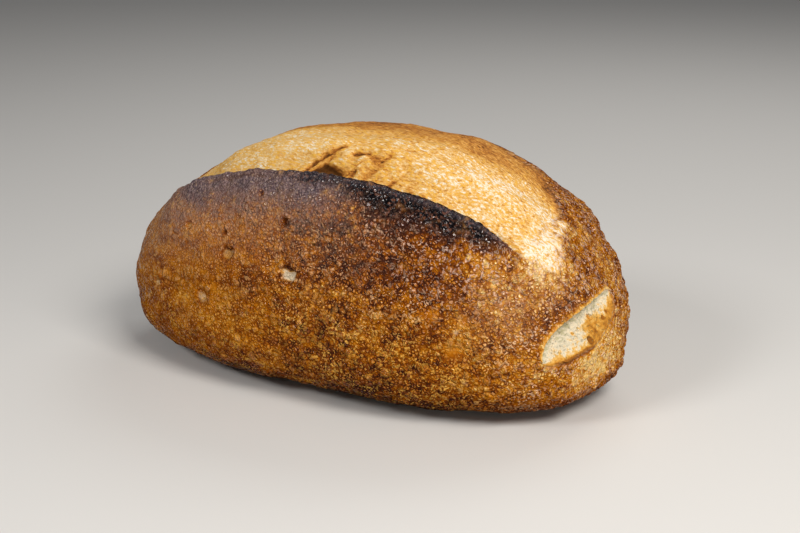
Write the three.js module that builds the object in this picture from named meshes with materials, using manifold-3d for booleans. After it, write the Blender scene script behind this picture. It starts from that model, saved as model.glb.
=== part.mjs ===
// Sourdough loaf: a long hearth loaf, cut once along its top before baking. The cut has opened into a
// wide smooth bloom with a raised ear of crust in front of it, and the crust has burst at one end.
//
// The loaf is one closed solid in millimetres. +X runs along it to the burst end, -Y is the front wall
// below the ear and +Z is up. The origin is the middle of the base that it rests on.

import * as THREE from 'three';
import Module from 'manifold-3d';
import { LoftGeometry } from 'three/addons/geometries/LoftGeometry.js';
import { mergeVertices } from 'three/addons/utils/BufferGeometryUtils.js';

const { clamp, degToRad, lerp, smoothstep } = THREE.MathUtils;

// Body of the loaf
const LENGTH = 270;
const WIDTH = 152;
const HEIGHT = 123.5;
const WIDEST_X = 6;
const WAIST_HEIGHT = 32;
const SOLE_CUT = 3;
const PLAN_POWER = { near: 2.5, far: 2.39 };
const ROOF_POWER = { near: 2.12, far: 1.95 };
const SOLE_POWER = 3.74;
const SHOULDER_POWER = 2.6;
const HEEL_POWER = 2.36;

// Score along the top, from the far end to just short of the burst end
const SCORE_START_X = -104;
const SCORE_END_X = 110;
const SCORE_FADE = 0.22;
const CREST_DEGREES = 38;

// Ear of crust in front of the score, and the groove behind it
const EAR_HEIGHT = 6.5;
const EAR_THICKNESS = 3.4;
const EAR_FLARE = 40;
const EAR_ROOT = 3;
const EAR_ROOT_HEIGHT = 5.85;
const GROOVE_DEPTH = 8.5;
const GROOVE_FLOOR_DEPTH = 7.9;
const GROOVE_WIDTH = 7;
const GROOVE_SLOPE = 26;

// Bloom, the smooth dough that swelled up through the score
const BLOOM_WIDTH = 98;
const BLOOM_POWER = 2.4;
const BLOOM_RISE = 2;
const BLOOM_SHOULDER = 40;
const BACK_CREASE = { depth: 0.9, width: 1.6 };
const BACK_LIP = { height: 1.4, width: 4 };

// Patch of the bloom that tore and sank, and the hollow at its foot just behind the ear. Both are oval.
const TORN_PATCH = { x: 16, across: 18, length: 31, width: 16, depth: 1.2 };
const EAR_HOLLOW = { x: 2, across: 10, length: 10.5, width: 5.5, depth: 4.5 };
const DIP_FLOOR_SHARE = 0.45;
const DIP_EDGE_SHARE = 1.15;

// Burst in the crust of the near end: a sunken lens, steepest at its upper lip, inside a swollen rim
const BURST_MIDDLE = { y: -21.9, z: 48.3 };
const BURST_TILT_DEGREES = 25.6;
const BURST_LENGTH = 56;
const BURST_WIDTH = 21;
const BURST_DEPTH = 6.5;
const BURST_RIM = 1.4;
const BURST_RIM_SPREAD = 1.9;
const BURST_FACING_DEGREES = -16;
const BURST_LEAN_DEGREES = 24;
const BURST_FACETS = { round: 28, down: 14 };

// Uneven swelling of the whole crust, outwards from a core inside the loaf
const LUMP_WAVES = 7;
const LUMP_HEIGHT = 0.38;
const LUMP_LENGTH = 74;
const LUMP_SHRINK = 0.8;
const GOLDEN_ANGLE = 2.39996;
const GOLDEN_RATIO = 0.618;
const CORE_HEIGHT = 54;

// Two places behind the bloom that swelled more than the crust round them, and one that sank
const SWELLINGS = [
  { middle: new THREE.Vector3(50, 28, 117), reach: 19, height: 2.4 },
  { middle: new THREE.Vector3(98, 39, 89), reach: 15, height: 2.6 },
  { middle: new THREE.Vector3(-84, -22, 100), reach: 20, height: -1.8 },
];

// Fineness of the solid
const RINGS = 66;
const RING_CROWDING = 1.25;
const OUTLINE_STEPS = 360;
const FRONT_POINTS = 26;
const FRONT_CROWDING = 1.35;
const LIP_POINTS = 12;
const BACK_POINTS = 34;
const BACK_CROWDING = 1.2;
const NORMAL_STEP = 0.8;
const END_RING_RADIUS = 2.5;
const END_RING_GIRTH = 20;
const FULL_RELIEF_GIRTH = 90;
const FULL_EAR_GIRTH = 386;

const CRUST_COLOUR = 0xa8662e;

// Width, roof and sole of the section at x, as shares of their largest values
function sectionShares(x) {
  const side = x > WIDEST_X ? 'near' : 'far';
  const reach = LENGTH / 2 - (x > WIDEST_X ? WIDEST_X : -WIDEST_X);
  const along = Math.min(Math.abs(x - WIDEST_X) / reach, 1);
  const share = (power) => (1 - along ** power) ** (1 / power);
  return { plan: share(PLAN_POWER[side]), roof: share(ROOF_POWER[side]), sole: share(SOLE_POWER) };
}

// Point of the smooth body's section at x. Angle 0 is the top and a negative angle is towards the front.
function bodyPoint(x, angle) {
  const { plan, roof, sole } = sectionShares(x);
  const up = Math.cos(angle);
  const side = Math.sin(angle);
  const roundness = 2 / (up > 0 ? SHOULDER_POWER : HEEL_POWER);
  const rise = up > 0 ? (HEIGHT - WAIST_HEIGHT) * roof : -(WAIST_HEIGHT + SOLE_CUT) * sole;
  return new THREE.Vector2(
    (WIDTH / 2) * plan * Math.sign(side) * Math.abs(side) ** roundness,
    WAIST_HEIGHT + rise * Math.abs(up) ** roundness,
  );
}

// X of each ring, by even steps along the loaf's outline seen from above, closer towards the burst end
function ringPlaces() {
  const outline = [];
  for (let step = 0; step <= OUTLINE_STEPS; step += 1) {
    const cosine = -Math.cos((Math.PI * step) / OUTLINE_STEPS);
    const reach = LENGTH / 2 - Math.sign(cosine) * WIDEST_X;
    const x = WIDEST_X + cosine * reach;
    outline.push(new THREE.Vector2(x, (WIDTH / 2) * sectionShares(x).plan));
  }
  const edge = new THREE.Path(outline);
  const margin = END_RING_RADIUS / edge.getLength();
  return Array.from({ length: RINGS }, (_, ring) => {
    const crowded = 1 - (1 - ring / (RINGS - 1)) ** RING_CROWDING;
    return edge.getPoint(lerp(margin, 1 - margin, crowded)).x;
  });
}

// How far the score has opened at x, from 0 at its two ends to 1 along its middle
function scoreAt(x) {
  const along = (2 * x - SCORE_START_X - SCORE_END_X) / (SCORE_END_X - SCORE_START_X);
  return { along, open: smoothstep(1 - Math.abs(along), 0, SCORE_FADE) };
}

// Ear and groove in section: distance behind the crest, and height above the smooth body
const earSection = new THREE.SplineCurve([
  new THREE.Vector2(-EAR_ROOT, EAR_ROOT_HEIGHT),
  new THREE.Vector2(-0.4 * EAR_ROOT, 0.98 * EAR_HEIGHT),
  new THREE.Vector2(0.1 * EAR_THICKNESS, EAR_HEIGHT),
  new THREE.Vector2(0.55 * EAR_THICKNESS, EAR_HEIGHT - 0.3 * EAR_THICKNESS),
  new THREE.Vector2(0.6 * EAR_THICKNESS, EAR_HEIGHT - 0.8 * EAR_THICKNESS),
  new THREE.Vector2(0, EAR_HEIGHT - 1.4 * EAR_THICKNESS),
  new THREE.Vector2(-EAR_ROOT, EAR_HEIGHT - 1.9 * EAR_THICKNESS),
  new THREE.Vector2(-1.5 * EAR_ROOT, -0.45 * GROOVE_DEPTH),
  new THREE.Vector2(-1.1 * EAR_ROOT, -0.85 * GROOVE_DEPTH),
  new THREE.Vector2(0.3 * EAR_ROOT, -GROOVE_DEPTH),
  new THREE.Vector2(GROOVE_WIDTH, -GROOVE_FLOOR_DEPTH),
]);

// 1 at no distance, falling to 0 over about two widths
function bell(distance, width) {
  return Math.exp(-((distance / width) ** 2));
}

// The edge of the bloom is where this reaches 1
function bloomReach(along, across) {
  const side = Math.max(across, 0) / BLOOM_WIDTH;
  return (Math.abs(along) ** BLOOM_POWER + side ** BLOOM_POWER) ** (1 / BLOOM_POWER);
}

// Depth of an oval dip in the bloom at a place x along the loaf and across from the crest
function dipDepth(dip, x, across) {
  const reach = Math.hypot((x - dip.x) / dip.length, (across - dip.across) / dip.width);
  return dip.depth * (1 - smoothstep(reach, DIP_FLOOR_SHARE, DIP_EDGE_SHARE));
}

// Height of the bloom and the crust behind it above the smooth body
function bloomLift(x, across, along, open) {
  const inside = ((1 - bloomReach(along, across)) * (SCORE_END_X - SCORE_START_X)) / 2;
  const pastGroove = smoothstep(across, GROOVE_WIDTH, GROOVE_WIDTH + GROOVE_SLOPE);
  const groove = -GROOVE_FLOOR_DEPTH * open * (1 - pastGroove);
  const swell = BLOOM_RISE * smoothstep(inside, 0, BLOOM_SHOULDER);
  const awayFromEar = smoothstep(across, 0, GROOVE_SLOPE);
  const crease = -BACK_CREASE.depth * bell(inside - BACK_CREASE.width, BACK_CREASE.width);
  const lip = BACK_LIP.height * bell(inside + BACK_LIP.width, BACK_LIP.width);
  const dips = dipDepth(TORN_PATCH, x, across) + dipDepth(EAR_HOLLOW, x, across);
  return groove + swell + (crease + lip) * awayFromEar - dips;
}

// Swelling of the crust round the burst, at a point of the near end
function rimLift(y, z) {
  const tilt = degToRad(BURST_TILT_DEGREES);
  const dy = y - BURST_MIDDLE.y;
  const dz = z - BURST_MIDDLE.z;
  const along = (dy * Math.cos(tilt) + dz * Math.sin(tilt)) / (BURST_LENGTH / 2);
  const across = (dz * Math.cos(tilt) - dy * Math.sin(tilt)) / (BURST_WIDTH / 2);
  return BURST_RIM * (1 - smoothstep(Math.hypot(along, across), 1, BURST_RIM_SPREAD));
}

// Uneven swelling at a point: the single swellings and a few waves in scattered directions
function lumpLift(point) {
  let lift = 0;
  for (const { middle, reach, height } of SWELLINGS) {
    lift += height * bell(point.distanceTo(middle), reach);
  }
  for (let wave = 0; wave < LUMP_WAVES; wave += 1) {
    const turn = wave * GOLDEN_ANGLE;
    const rise = 2 * ((wave * GOLDEN_RATIO) % 1) - 1;
    const flat = Math.sqrt(1 - rise ** 2);
    const direction = new THREE.Vector3(Math.cos(turn) * flat, Math.sin(turn) * flat, rise);
    const phase = (2 * Math.PI * point.dot(direction)) / (LUMP_LENGTH * LUMP_SHRINK ** wave);
    lift += LUMP_HEIGHT * LUMP_SHRINK ** (wave / 2) * Math.sin(phase + turn * wave);
  }
  return lift;
}

// Distance from the crest and height above the smooth body of each point round the section at x
function sectionProfile(x, frontLength, backLength) {
  const { along, open } = scoreAt(x);
  const shrink = Math.min((frontLength + backLength) / FULL_EAR_GIRTH, 1);
  const root = EAR_ROOT * shrink;
  const foot = GROOVE_WIDTH * shrink;
  const profile = [];
  for (let i = 0; i < FRONT_POINTS; i += 1) {
    const share = 1 - (1 - i / FRONT_POINTS) ** FRONT_CROWDING;
    const across = lerp(-frontLength, -root, share);
    const flare = smoothstep(across + root, -EAR_FLARE * shrink, 0);
    profile.push(new THREE.Vector2(across, EAR_ROOT_HEIGHT * open * flare));
  }
  for (let i = 0; i < LIP_POINTS; i += 1) {
    const share = i / (LIP_POINTS - 1);
    const level = new THREE.Vector2(lerp(-root, foot, share), 0);
    profile.push(level.lerp(earSection.getPointAt(share), open));
  }
  for (let i = 1; i <= BACK_POINTS; i += 1) {
    const share = (i / (BACK_POINTS + 1)) ** BACK_CROWDING;
    const across = lerp(foot, backLength, share);
    profile.push(new THREE.Vector2(across, bloomLift(x, across, along, open)));
  }
  return profile;
}

// Closed section of the finished loaf at x
function loafSection(x) {
  const outline = [];
  for (let step = 0; step <= OUTLINE_STEPS; step += 1) {
    outline.push(bodyPoint(x, lerp(-Math.PI, Math.PI, step / OUTLINE_STEPS)));
  }
  const edge = new THREE.Path(outline);
  const lengths = edge.getCurveLengths();
  const total = lengths[lengths.length - 1];
  const crest = lengths[Math.round((OUTLINE_STEPS * (180 - CREST_DEGREES)) / 360) - 1];
  const relief = smoothstep(total, END_RING_GIRTH, FULL_RELIEF_GIRTH);
  const coreEnd = (LENGTH - WIDTH) / 2;
  const core = new THREE.Vector3(clamp(x, -coreEnd, coreEnd), 0, CORE_HEIGHT);

  const section = sectionProfile(x, crest, total - crest).map(({ x: across, y: lift }) => {
    const place = (distance) => edge.getPoint(clamp((crest + across + distance) / total, 0, 1));
    const tangent = place(NORMAL_STEP).sub(place(-NORMAL_STEP)).normalize();
    const base = place(0);
    const point = new THREE.Vector3(x, base.x - tangent.y * lift, base.y + tangent.x * lift);
    const outward = point.clone().sub(core).normalize();
    const rim = x > coreEnd ? rimLift(point.y, point.z) : 0;
    point.addScaledVector(outward, (lumpLift(point) + rim) * relief);
    point.z = Math.max(point.z, 0);
    return point;
  });
  return section.reverse();
}

// Flattened ball that sinks the burst into the near end. It leans, so its upper side cuts deepest.
function burstGeometry(endSurface) {
  const ball = new THREE.SphereGeometry(1, BURST_FACETS.round, BURST_FACETS.down);
  ball.scale(BURST_DEPTH, BURST_LENGTH / 2, BURST_WIDTH / 2);
  ball.rotateY(degToRad(BURST_LEAN_DEGREES));
  ball.rotateX(degToRad(BURST_TILT_DEGREES));
  ball.rotateZ(degToRad(BURST_FACING_DEGREES));
  return ball.translate(endSurface.x, endSurface.y, endSurface.z);
}

// Point of the crust that lies over the middle of the burst
function burstPlace(sections) {
  const middle = new THREE.Vector3(0, BURST_MIDDLE.y, BURST_MIDDLE.z);
  const away = (point) => Math.hypot(point.y - middle.y, point.z - middle.z);
  const nearHalf = sections.flat().filter((point) => point.x > WIDEST_X);
  const closest = nearHalf.reduce((best, point) => (away(point) < away(best) ? point : best));
  return middle.setX(closest.x);
}

const manifold = await Module();
manifold.setup();

function toSolid(geometry) {
  const bare = new THREE.BufferGeometry();
  bare.setAttribute('position', geometry.getAttribute('position'));
  bare.setIndex(geometry.getIndex());
  const merged = mergeVertices(bare);
  return new manifold.Manifold(new manifold.Mesh({
    numProp: 3,
    vertProperties: merged.getAttribute('position').array,
    triVerts: new Uint32Array(merged.index.array),
  }));
}

function toGeometry(solid) {
  const { vertProperties, triVerts } = solid.getMesh();
  const geometry = new THREE.BufferGeometry();
  geometry.setAttribute('position', new THREE.BufferAttribute(vertProperties, 3));
  geometry.setIndex(new THREE.BufferAttribute(triVerts, 1));
  geometry.computeVertexNormals();
  return geometry;
}

const sections = ringPlaces().map(loafSection);
const wholeLoaf = new LoftGeometry(sections, { capStart: true, capEnd: true });
const burst = burstGeometry(burstPlace(sections));
const loafGeometry = toGeometry(toSolid(wholeLoaf).subtract(toSolid(burst)));
loafGeometry.computeBoundingBox();
const centre = loafGeometry.boundingBox.getCenter(new THREE.Vector3());
loafGeometry.translate(-centre.x, -centre.y, 0);

const crustMaterial = new THREE.MeshStandardMaterial({ color: CRUST_COLOUR, roughness: 0.75, metalness: 0 });
const loaf = new THREE.Mesh(loafGeometry, crustMaterial);
loaf.name = 'loaf';

const sourdoughLoaf = new THREE.Group();
sourdoughLoaf.add(loaf);

export default sourdoughLoaf;
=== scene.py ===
import itertools
import math
from types import SimpleNamespace

import bpy
import numpy as np
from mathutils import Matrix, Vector


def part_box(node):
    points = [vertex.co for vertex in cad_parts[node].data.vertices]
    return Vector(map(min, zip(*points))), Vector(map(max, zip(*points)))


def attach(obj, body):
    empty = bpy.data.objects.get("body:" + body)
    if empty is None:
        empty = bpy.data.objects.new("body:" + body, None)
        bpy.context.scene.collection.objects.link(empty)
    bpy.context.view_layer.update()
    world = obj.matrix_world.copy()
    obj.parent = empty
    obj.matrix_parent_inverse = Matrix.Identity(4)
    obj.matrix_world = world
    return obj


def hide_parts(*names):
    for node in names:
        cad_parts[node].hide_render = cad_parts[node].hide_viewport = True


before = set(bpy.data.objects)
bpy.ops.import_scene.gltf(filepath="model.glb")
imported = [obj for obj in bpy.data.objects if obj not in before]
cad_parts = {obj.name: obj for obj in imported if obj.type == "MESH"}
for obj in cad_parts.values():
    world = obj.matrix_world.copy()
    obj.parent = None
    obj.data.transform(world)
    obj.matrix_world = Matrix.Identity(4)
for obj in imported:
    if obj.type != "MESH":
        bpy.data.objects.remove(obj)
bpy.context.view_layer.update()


# ---- Camera ----------------------------------------------------------------------------------
# A short telephoto lens about 80 cm from the loaf and a little above it. It looks at the front
# wall from the side of the burst end, so that the wall, the ear, the bloom and the burst all show.
MM = 0.001
CAMERA_AIM = Vector((14.4, 4.9, 53.1)) * MM
CAMERA_DISTANCE = 795 * MM
CAMERA_AZIMUTH = math.radians(30)
CAMERA_ELEVATION = math.radians(17)
CAMERA_LENS = 70
CAMERA_FILM_WIDTH = 36

camera = bpy.data.objects.new("camera", bpy.data.cameras.new("camera"))
camera.data.lens = CAMERA_LENS
camera.data.sensor_width = CAMERA_FILM_WIDTH
towards_camera = Vector((
    math.sin(CAMERA_AZIMUTH) * math.cos(CAMERA_ELEVATION),
    -math.cos(CAMERA_AZIMUTH) * math.cos(CAMERA_ELEVATION),
    math.sin(CAMERA_ELEVATION),
))
camera.location = CAMERA_AIM + towards_camera * CAMERA_DISTANCE
camera.rotation_euler = towards_camera.to_track_quat("Z", "Y").to_euler()
bpy.context.scene.collection.objects.link(camera)
bpy.context.scene.camera = camera


# ---- Body of the loaf ------------------------------------------------------------------------
# Wheat dough rolled up into a plump oval and baked straight on a hot stone, which leaves a flat
# sole. The body is a row of closed sections along X. Lengths in these sections are millimetres.
BOX_LOW, BOX_HIGH = (np.array(corner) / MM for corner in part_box("loaf"))
LENGTH, WIDTH, HEIGHT = BOX_HIGH - BOX_LOW
WIDEST_X = 6
WAIST_HEIGHT = 32
SOLE_CUT = 3
PLAN_POWER = {"near": 2.5, "far": 2.39}
ROOF_POWER = {"near": 2.12, "far": 1.95}
SOLE_POWER = 3.74
SHOULDER_POWER = 2.6
HEEL_POWER = 2.36
OUTLINE_STEPS = 720
PLAN_STEPS = 8 * OUTLINE_STEPS
RINGS = 600
RING_CROWDING = 1.2


def ease(value, start=0.0, end=1.0):
    """Smooth step from 0 at start to 1 at end."""
    share = np.clip((value - start) / (end - start), 0, 1)
    return share * share * (3 - 2 * share)


def bell(distance, width):
    return np.exp(-((distance / width) ** 2))


def section_shares(x):
    """Width, roof and sole of the section at x, as shares of their largest values."""
    near = x > WIDEST_X
    along = np.clip(np.abs(x - WIDEST_X) / (LENGTH / 2 - np.where(near, WIDEST_X, -WIDEST_X)), 0, 1)

    def share(power):
        return (1 - along**power) ** (1 / power)

    plan = share(np.where(near, PLAN_POWER["near"], PLAN_POWER["far"]))
    roof = share(np.where(near, ROOF_POWER["near"], ROOF_POWER["far"]))
    return plan, roof, share(SOLE_POWER)


def body_outline(x):
    """Y and Z round the section at x, from the middle of the sole up the front wall and over."""
    plan, roof, sole = section_shares(x)
    angle = np.linspace(-np.pi, np.pi, OUTLINE_STEPS + 1)
    up, side = np.cos(angle), np.sin(angle)
    roundness = np.where(up > 0, 2 / SHOULDER_POWER, 2 / HEEL_POWER)
    rise = np.where(up > 0, (HEIGHT - WAIST_HEIGHT) * roof, -(WAIST_HEIGHT + SOLE_CUT) * sole)
    y = WIDTH / 2 * plan * np.sign(side) * np.abs(side) ** roundness
    return y, WAIST_HEIGHT + rise * np.abs(up) ** roundness


def ring_places():
    """X of each ring, by even steps along the outline seen from above."""
    cosine = -np.cos(np.linspace(0, np.pi, PLAN_STEPS))
    x = WIDEST_X + cosine * (LENGTH / 2 - np.sign(cosine) * WIDEST_X)
    half_width = WIDTH / 2 * section_shares(x)[0]
    edge = np.concatenate([[0], np.cumsum(np.hypot(np.diff(x), np.diff(half_width)))])
    share = 1 - (1 - np.linspace(0, 1, RINGS + 2)[1:-1]) ** RING_CROWDING
    return np.interp(share * edge[-1], edge, x)


# ---- Uneven skin: swellings and blisters -----------------------------------------------------
# Gas pushed the skin up unevenly, and in the steam of the oven it rose in thousands of glassy
# blisters, widest low on the burst half of the front wall. The smallest are in the finish.
LUMP_WAVES = 7
LUMP_HEIGHT = 0.38
LUMP_LENGTH = 74
LUMP_SHRINK = 0.8
GOLDEN_ANGLE = 2.39996
GOLDEN_RATIO = 0.618

# Spots on the skin, here and in other sections: the middle, how far it reaches, and its weight
SWELLINGS = (
    ((50, 28, 117), 19, 2.4),
    ((98, 39, 89), 15, 2.6),
    ((-84, -22, 100), 20, -1.8),
)
BLISTER_LAYERS = (
    {"spacing": 11, "radius": (2.0, 3.4), "height": 1.0, "share": 0.35, "seed": 11},
    {"spacing": 5.6, "radius": (1.5, 2.4), "height": 0.75, "share": 0.5, "seed": 23},
    {"spacing": 3.4, "radius": (0.9, 1.5), "height": 0.42, "share": 0.8, "seed": 37},
)

# Blisters crowd towards the burst end, and stay low except round the end itself
BUBBLY_X = (-70, 70)
BUBBLY_TOP = (84, 108)
BUBBLY_END_X = (88, 105)
BLISTER_FLATTEST = 0.65
BLISTER_SWELLING = 0.85


def scatter(cells, seed):
    """A fixed random share from 0 to 1 for each whole-numbered cell of space."""
    stirred = cells[..., 0] * 73856093 ^ cells[..., 1] * 19349663 ^ cells[..., 2] * 83492791
    stirred = (stirred + seed * 2654435761) & 0xFFFFFFFF
    for _ in range(2):
        stirred = ((stirred ^ (stirred >> 15)) * 739982445) & 0xFFFFFFFF
    return ((stirred ^ (stirred >> 15)) & 0xFFFFFF) / 0x1000000


def rough(points, pitch, seed):
    """Smooth random height from -1 to 1 that changes over about one pitch."""
    scaled = points / pitch
    cell = np.floor(scaled).astype(np.int64)
    share = ease(scaled - cell)
    height = 0
    for corner in itertools.product((0, 1), repeat=3):
        weight = np.prod(np.where(corner, share, 1 - share), axis=-1)
        height = height + weight * scatter(cell + np.array(corner), seed)
    return 2 * height - 1


def nearest_spot(points, spacing, seed):
    """Distance to the nearest of many scattered spots, and that spot's own random share."""
    scaled = points / spacing
    cell = np.floor(scaled).astype(np.int64)
    distance = np.full(points.shape[:-1], np.inf)
    share = np.zeros(points.shape[:-1])
    for step in itertools.product((-1, 0, 1), repeat=3):
        near_cell = cell + np.array(step)
        spot = near_cell + np.stack([scatter(near_cell, seed + axis) for axis in range(3)], axis=-1)
        gap = np.linalg.norm(scaled - spot, axis=-1)
        closer = gap < distance
        distance = np.where(closer, gap, distance)
        share = np.where(closer, scatter(near_cell, seed + 3), share)
    return distance * spacing, share


def near_to(points, spots):
    """The weights of the spots at each point, each fading out over the spot's reach."""
    weights = 0
    for middle, reach, weight in spots:
        gap = np.linalg.norm(points - np.array(middle), axis=-1)
        weights = weights + weight * bell(gap, reach)
    return weights


def lumps(points):
    """Broad swelling of the whole loaf: single swellings, and a few waves in scattered directions."""
    lift = near_to(points, SWELLINGS)
    for wave in range(LUMP_WAVES):
        turn = wave * GOLDEN_ANGLE
        rise = 2 * ((wave * GOLDEN_RATIO) % 1) - 1
        flat = math.sqrt(1 - rise**2)
        direction = np.array([math.cos(turn) * flat, math.sin(turn) * flat, rise])
        phase = 2 * np.pi * (points @ direction) / (LUMP_LENGTH * LUMP_SHRINK**wave)
        lift = lift + LUMP_HEIGHT * LUMP_SHRINK ** (wave / 2) * np.sin(phase + turn * wave)
    return lift


def blisters(points, crowding):
    """Height of the blisters, from thousands of tiny ones to a few as wide as a pea."""
    lift = np.zeros(points.shape[:-1])
    for layer in BLISTER_LAYERS:
        distance, share = nearest_spot(points, layer["spacing"], layer["seed"])
        small, large = layer["radius"]
        radius = small + (large - small) * share / layer["share"]
        there = share < layer["share"] * (0.3 + 1.2 * crowding)
        dome = np.sqrt(np.clip(1 - (distance / radius) ** 2, 0, 1))
        lift = np.maximum(lift, np.where(there, layer["height"] * dome * radius / large, 0))
    return lift


# From here on, grid holds the whole skin as arrays, with a value for each place round each ring
def crust_relief(grid):
    """Relief of the crust: swelling, blisters, fine unevenness and pits. Adds the blisters' height."""
    points, height = grid.points, grid.points[..., 2]
    below_dust = 1 - ease(height, *BUBBLY_TOP) * (1 - ease(grid.x, *BUBBLY_END_X))
    bubbly = ease(grid.x, *BUBBLY_X) * below_dust
    crowding = np.clip(0.25 + 0.5 * bubbly + 0.35 * rough(points, 24, 5), 0, 1) * (1 - grid.glaze)
    grid.blister = blisters(points, crowding) * grid.skin * ease(height, 1, 8)
    relief = lumps(points)
    relief += grid.blister * (BLISTER_FLATTEST + BLISTER_SWELLING * bubbly)
    relief += grid.skin * (
        0.35 * rough(points, 11, 81)
        + 0.3 * rough(grid.stretched, 3.4, 82)
        + 0.12 * rough(points, 2.2, 85)
    )
    return relief + grid.skin * grid.pit_height


# ---- Score: ear, groove and bloom ------------------------------------------------------------
# One long cut made with a blade held flat. In the oven its front edge lifted into a thin charred
# ear, and fresh dough swelled up behind it into a smooth pale bloom with its own wrinkled skin.
SCORE_START_X = -104
SCORE_END_X = 110
SCORE_FADE = 0.22
CREST_DEGREES = 38
EAR_HEIGHT = 6.5
EAR_THICKNESS = 3.4
EAR_FLARE = 40
EAR_ROOT = 3
EAR_BACK = 0.9 * EAR_HEIGHT
GROOVE_DEPTH = 8.5
GROOVE_WIDTH = 7
GROOVE_SLOPE = 26
GROOVE_FLOOR = 0.93 * GROOVE_DEPTH
FULL_SIZE_GIRTH = 1.4 * (WIDTH + HEIGHT)
BLOOM_WIDTH = 98
BLOOM_POWER = 2.4
BLOOM_RISE = 2
BLOOM_SHOULDER = 40
BACK_CREASE_DEPTH, BACK_CREASE_WIDTH = 0.9, 1.6
BACK_LIP_HEIGHT, BACK_LIP_WIDTH = 1.4, 4
FRONT_POINTS, LIP_POINTS, BACK_POINTS = ((330, 90, 340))
FRONT_CROWDING = 1.3
BACK_CROWDING = 1.12

# Ear and groove in section: distance behind the crest, and height above the smooth body
EAR_KEYS = np.array([
    [-EAR_ROOT, EAR_BACK],
    [-0.4 * EAR_ROOT, 0.98 * EAR_HEIGHT],
    [0.1 * EAR_THICKNESS, EAR_HEIGHT],
    [0.55 * EAR_THICKNESS, EAR_HEIGHT - 0.3 * EAR_THICKNESS],
    [0.6 * EAR_THICKNESS, EAR_HEIGHT - 0.8 * EAR_THICKNESS],
    [0, EAR_HEIGHT - 1.4 * EAR_THICKNESS],
    [-EAR_ROOT, EAR_HEIGHT - 1.9 * EAR_THICKNESS],
    [-1.5 * EAR_ROOT, -0.45 * GROOVE_DEPTH],
    [-1.1 * EAR_ROOT, -0.85 * GROOVE_DEPTH],
    [0.3 * EAR_ROOT, -GROOVE_DEPTH],
    [GROOVE_WIDTH, -GROOVE_FLOOR],
])

# Where the bloom's skin tore and folded: both ends of each crease, as x and distance behind the crest
CREASES = (
    {"from": (-15, 10), "to": (-11, 18), "depth": 2.8, "width": 0.8},
    {"from": (-11.5, 16), "to": (-6.5, 23), "depth": 2.2, "width": 0.6},
    {"from": (-6.5, 22), "to": (3, 28.5), "depth": 1.6, "width": 0.5},
    {"from": (-9.5, 12), "to": (-4, 17.5), "depth": 2.0, "width": 0.9},
    {"from": (-24, 12.5), "to": (-21.5, 12), "depth": 1.2, "width": 0.8},
    {"from": (9.5, 25), "to": (17.5, 25.5), "depth": 1.3, "width": 0.9},
    {"from": (24.5, 21.5), "to": (28, 26.5), "depth": 1.0, "width": 0.6},
    {"from": (22, 42.5), "to": (36, 46), "depth": 0.8, "width": 0.4},
    {"from": (34, 33.5), "to": (39, 33.5), "depth": 0.9, "width": 0.5},
    {"from": (12, 11), "to": (14.5, 15), "depth": 1.1, "width": 0.8},
    {"from": (33, 9), "to": (35, 14), "depth": 1.0, "width": 0.6},
    {"from": (42, 8), "to": (46, 9), "depth": 1.4, "width": 0.8},
)
CREASE_DARKEST = 1.4
CREASE_OVERHANG = 0.5
HOLLOW = {"x": -1.0, "across": 11.5, "length": 10.5, "width": 5.5, "depth": 4.5}
TORN_CRUMB = {"x": 16, "across": 18, "length": 31, "width": 16, "height": 0.9, "sunk": 1.2}
PATCH_FADE = (0.45, 1.15)

# Where the pale skin of the bloom runs out over the crust of the near end
FLOURED = (
    ((104, -32, 85), 7.5, 1.1),
    ((111.5, -31, 80), 8, 0.9),
    ((108.5, -21, 87), 7, 1.0),
    ((117, -26, 77), 6, 0.5),
    ((105, -8, 91), 7.5, 1.1),
)


def smooth_curve(keys, count):
    """Points at even distances along the smooth curve through the keys."""
    padded = np.vstack([keys[0], keys, keys[-1]])
    place = np.linspace(0, len(keys) - 1, 800)
    first = np.minimum(place.astype(int), len(keys) - 2)
    t = (place - first)[:, None]
    before, start, end, after = (padded[first + step] for step in range(4))
    leave, arrive = (end - before) / 2, (after - start) / 2
    curve = (
        start + leave * t + (3 * (end - start) - 2 * leave - arrive) * t**2
        + (2 * (start - end) + leave + arrive) * t**3
    )
    run = np.concatenate([[0], np.cumsum(np.linalg.norm(np.diff(curve, axis=0), axis=1))])
    even = np.linspace(0, run[-1], count)
    return np.stack([np.interp(even, run, curve[:, axis]) for axis in range(2)], axis=1)


def score_at(x):
    """Place along the score from -1 to 1, and how far it has opened, from 0 to 1."""
    along = (2 * x - SCORE_START_X - SCORE_END_X) / (SCORE_END_X - SCORE_START_X)
    return along, ease(1 - np.abs(along), 0, SCORE_FADE)


def bloom_inside(along, across):
    """Distance in from the edge of the bloom, below zero outside it."""
    side = np.maximum(across, 0) / BLOOM_WIDTH
    reach = (np.abs(along) ** BLOOM_POWER + side**BLOOM_POWER) ** (1 / BLOOM_POWER)
    return (1 - reach) * (SCORE_END_X - SCORE_START_X) / 2


def bloom_lift(across, along, opened):
    """Height of the bloom, and of the crust behind it, above the smooth body."""
    inside = bloom_inside(along, across)
    groove = -GROOVE_FLOOR * opened
    groove = groove * (1 - ease(across, GROOVE_WIDTH, GROOVE_WIDTH + GROOVE_SLOPE))
    swell = BLOOM_RISE * ease(inside, 0, BLOOM_SHOULDER)
    crease = -BACK_CREASE_DEPTH * bell(inside - BACK_CREASE_WIDTH, BACK_CREASE_WIDTH)
    lip = BACK_LIP_HEIGHT * bell(inside + BACK_LIP_WIDTH, BACK_LIP_WIDTH)
    return groove + swell + (crease + lip) * ease(across, 0, GROOVE_SLOPE)


EAR_CURVE = smooth_curve(EAR_KEYS, LIP_POINTS)


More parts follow.
